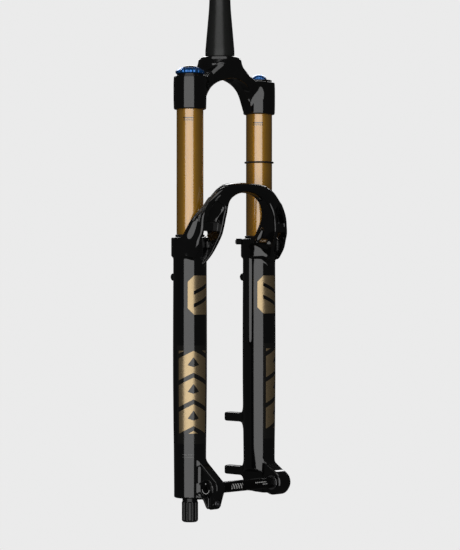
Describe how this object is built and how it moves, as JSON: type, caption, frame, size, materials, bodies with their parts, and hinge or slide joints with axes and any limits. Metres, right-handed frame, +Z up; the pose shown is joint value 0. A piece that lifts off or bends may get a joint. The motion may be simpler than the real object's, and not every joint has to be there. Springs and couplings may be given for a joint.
{
  "type": "suspension fork",
  "caption": "Single-crown telescopic bicycle suspension fork with tapered steerer, arched lower casting, air and damper legs and a through axle.",
  "frame": {"origin": "on the steerer axis at the crown race seat, the flat top of the crown", "axes": "+Z up the steerer, +X to the rider's left where the air spring and the brake tabs are, -Y to the front of the bicycle where the axle is"},
  "size_m": [0.1832, 0.1155, 0.8425],
  "materials": {
    "steerer_black": "satin anodised aluminium",
    "crown_black": "gloss black",
    "casting_black": "gloss black paint",
    "gold_tube": "gold hard coating, polished",
    "blue_anodised": "blue anodised",
    "black_anodised": "black anodised, satin",
    "bare_aluminium": "turned aluminium",
    "polished_steel": "ground and polished",
    "steel": "plated steel",
    "brass": "turned brass",
    "copper_washer": "soft copper",
    "black_rubber": "matt rubber",
    "foam": "open-cell foam",
    "bushing": "coated steel-backed",
    "spacer_plastic": "moulded",
    "bumper": "elastomer",
    "black_plastic": "moulded"
  },
  "bodies": {
    "crown_unit": {"steerer_tube": "steerer_black", "crown": "crown_black", "upper_tube_damper": "gold_tube", "upper_tube_air": "gold_tube", "damper_top_cap": "black_anodised", "air_top_cap": "black_anodised", "air_valve_body": "brass", "volume_spacers": "spacer_plastic", "damper_cartridge": "bare_aluminium", "cartridge_seal_head": "bare_aluminium", "compression_valve": "brass", "floating_piston_spring": "steel", "cartridge_snap_ring": "steel", "air_seal_head": "bare_aluminium", "air_snap_ring": "steel"},
    "high_speed_compression": {"high_speed_compression_knob": "blue_anodised"},
    "low_speed_compression": {"low_speed_compression_knob": "black_anodised"},
    "valve_cap": {"air_valve_cap": "blue_anodised"},
    "valve_core": {"valve_pin": "polished_steel"},
    "oil_piston": {"floating_piston": "bare_aluminium"},
    "travel_marker": {"sag_ring": "black_rubber"},
    "lowers": {"lower_casting": "casting_black", "dust_wiper_damper": "black_rubber", "dust_wiper_air": "black_rubber", "wiper_springs": "steel", "foam_ring_damper": "foam", "foam_ring_air": "foam", "upper_bushing_damper": "bushing", "upper_bushing_air": "bushing", "lower_bushing_damper": "bushing", "lower_bushing_air": "bushing", "damper_shaft": "polished_steel", "damper_piston": "brass", "air_shaft": "polished_steel", "air_piston": "bare_aluminium", "air_piston_seal": "black_rubber", "top_out_bumper": "bumper", "bottom_out_bumper": "bumper", "damper_foot_nut": "bare_aluminium", "air_foot_nut": "bare_aluminium", "crush_washers": "copper_washer", "hose_guide": "black_plastic", "hose_guide_screw": "steel", "axle_nut": "bare_aluminium"},
    "low_speed_rebound": {"low_speed_rebound_knob": "black_anodised", "rebound_rod": "polished_steel"},
    "high_speed_rebound": {"high_speed_rebound_knob": "blue_anodised"},
    "foot_cover": {"rebound_cover": "black_anodised"},
    "bleeder_damper": {"bleeder_button_damper": "black_anodised"},
    "bleeder_air": {"bleeder_button_air": "black_anodised"},
    "wheel_axle": {"axle": "black_anodised"},
    "pinch_screw": {"pinch_bolt": "steel"}
  },
  "joints": [
    {"name": "suspension_travel", "type": "slide", "parent": "crown_unit", "child": "lowers", "axis": [0, 0, 1], "range_m": [0, 0.16], "stiffness_N_per_m": 5000},
    {"name": "oil_piston_float", "type": "slide", "parent": "crown_unit", "child": "oil_piston", "axis": [0, 0, 1], "range_m": [0, 0.034], "deforming": ["floating_piston_spring"]},
    {"name": "travel_marker_slide", "type": "slide", "parent": "crown_unit", "child": "travel_marker", "axis": [0, 0, 1], "range_m": [0, 0.0625]},
    {"name": "high_speed_compression_turn", "type": "hinge", "parent": "crown_unit", "child": "high_speed_compression", "pos_m": [-0.0665, -0.01, -0.02], "axis": [0, 0, 1], "range_deg": [0, 280]},
    {"name": "low_speed_compression_turn", "type": "hinge", "parent": "crown_unit", "child": "low_speed_compression", "pos_m": [-0.0665, -0.01, -0.02], "axis": [0, 0, 1], "range_deg": [0, 324]},
    {"name": "valve_cap_lift", "type": "slide", "parent": "crown_unit", "child": "valve_cap", "axis": [0, 0, 1], "range_m": [0, 0.03]},
    {"name": "valve_pin_press", "type": "slide", "parent": "crown_unit", "child": "valve_core", "axis": [0, 0, -1], "range_m": [0, 0.0012], "stiffness_N_per_m": 500},
    {"name": "low_speed_rebound_turn", "type": "hinge", "parent": "lowers", "child": "low_speed_rebound", "pos_m": [-0.0665, -0.01, -0.605], "axis": [0, 0, 1], "range_deg": [0, 288]},
    {"name": "high_speed_rebound_turn", "type": "hinge", "parent": "lowers", "child": "high_speed_rebound", "pos_m": [-0.0665, -0.01, -0.6], "axis": [0, 0, 1], "range_deg": [0, 240]},
    {"name": "foot_cover_pull", "type": "slide", "parent": "lowers", "child": "foot_cover", "axis": [0, 0, -1], "range_m": [0, 0.05]},
    {"name": "bleeder_damper_press", "type": "slide", "parent": "lowers", "child": "bleeder_damper", "axis": [0, -1, 0], "range_m": [0, 0.0012], "stiffness_N_per_m": 800},
    {"name": "bleeder_air_press", "type": "slide", "parent": "lowers", "child": "bleeder_air", "axis": [0, -1, 0], "range_m": [0, 0.0012], "stiffness_N_per_m": 800},
    {"name": "axle_pull", "type": "slide", "parent": "lowers", "child": "wheel_axle", "axis": [-1, 0, 0], "range_m": [0, 0.25]},
    {"name": "pinch_screw_turn", "type": "hinge", "parent": "lowers", "child": "pinch_screw", "pos_m": [-0.0625, -0.05, -0.6], "axis": [0, -1, 0], "continuous": true}
  ],
  "couplings": [
    {"joint": "oil_piston_float", "follows": "suspension_travel", "ratio": 0.2},
    {"joint": "travel_marker_slide", "follows": "suspension_travel", "ratio": 0.385}
  ]
}
